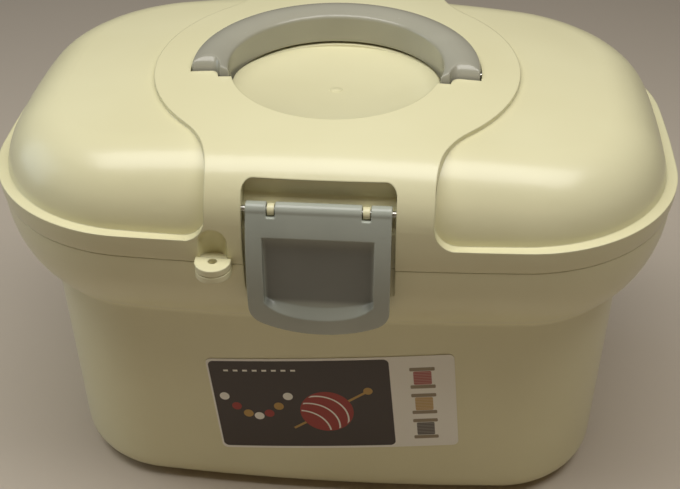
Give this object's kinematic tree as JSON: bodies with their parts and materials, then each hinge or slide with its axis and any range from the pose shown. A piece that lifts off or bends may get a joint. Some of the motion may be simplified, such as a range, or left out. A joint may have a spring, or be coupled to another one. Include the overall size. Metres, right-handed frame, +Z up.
{
  "type": "craft storage box",
  "caption": "Deep rounded plastic box with a domed hinged lid, a folding carry handle round a dish, a front latch, a padlock eye and a lift-out tray.",
  "frame": {"origin": "middle of the closed box's footprint, on the plane it stands on", "axes": "+X to the right seen from the latch side, +Y to the hinge side, +Z up"},
  "size_m": [0.34, 0.2417, 0.2295],
  "materials": {
    "cream_plastic": "gloss moulded",
    "handle_grey": "gloss moulded",
    "latch_grey": "satin moulded",
    "pin_steel": "drawn rod",
    "label_print": "printed and laminated"
  },
  "bodies": {
    "base": {"base_tub": "cream_plastic", "base_padlock_eye": "cream_plastic", "front_label": "label_print", "hinge_pin_left": "pin_steel", "hinge_pin_right": "pin_steel"},
    "lid": {"lid_shell": "cream_plastic", "lid_padlock_eye": "cream_plastic", "handle_pin_left": "pin_steel", "handle_pin_right": "pin_steel", "latch_pin": "pin_steel"},
    "handle": {"carry_handle": "handle_grey"},
    "latch": {"front_latch": "latch_grey"},
    "tray": {"lift_out_tray": "handle_grey"},
    "bail": {"tray_handle": "latch_grey"}
  },
  "joints": [
    {"name": "lid_hinge", "type": "hinge", "parent": "base", "child": "lid", "pos_m": [0, 0.1161, 0.172], "axis": [-1, 0, 0], "range_deg": [0, 105]},
    {"name": "handle_swing", "type": "hinge", "parent": "lid", "child": "handle", "pos_m": [0, -0.0115, 0.221], "axis": [1, 0, 0], "range_deg": [0, 90]},
    {"name": "latch_flip", "type": "hinge", "parent": "lid", "child": "latch", "pos_m": [0, -0.106, 0.2], "axis": [-1, 0, 0], "range_deg": [0, 110]},
    {"name": "tray_lift", "type": "slide", "parent": "base", "child": "tray", "axis": [0, 0, 1], "range_m": [0, 0.022]},
    {"name": "bail_swing", "type": "hinge", "parent": "tray", "child": "bail", "pos_m": [0, 0, 0.16], "axis": [1, 0, 0], "range_deg": [0, 90]}
  ]
}
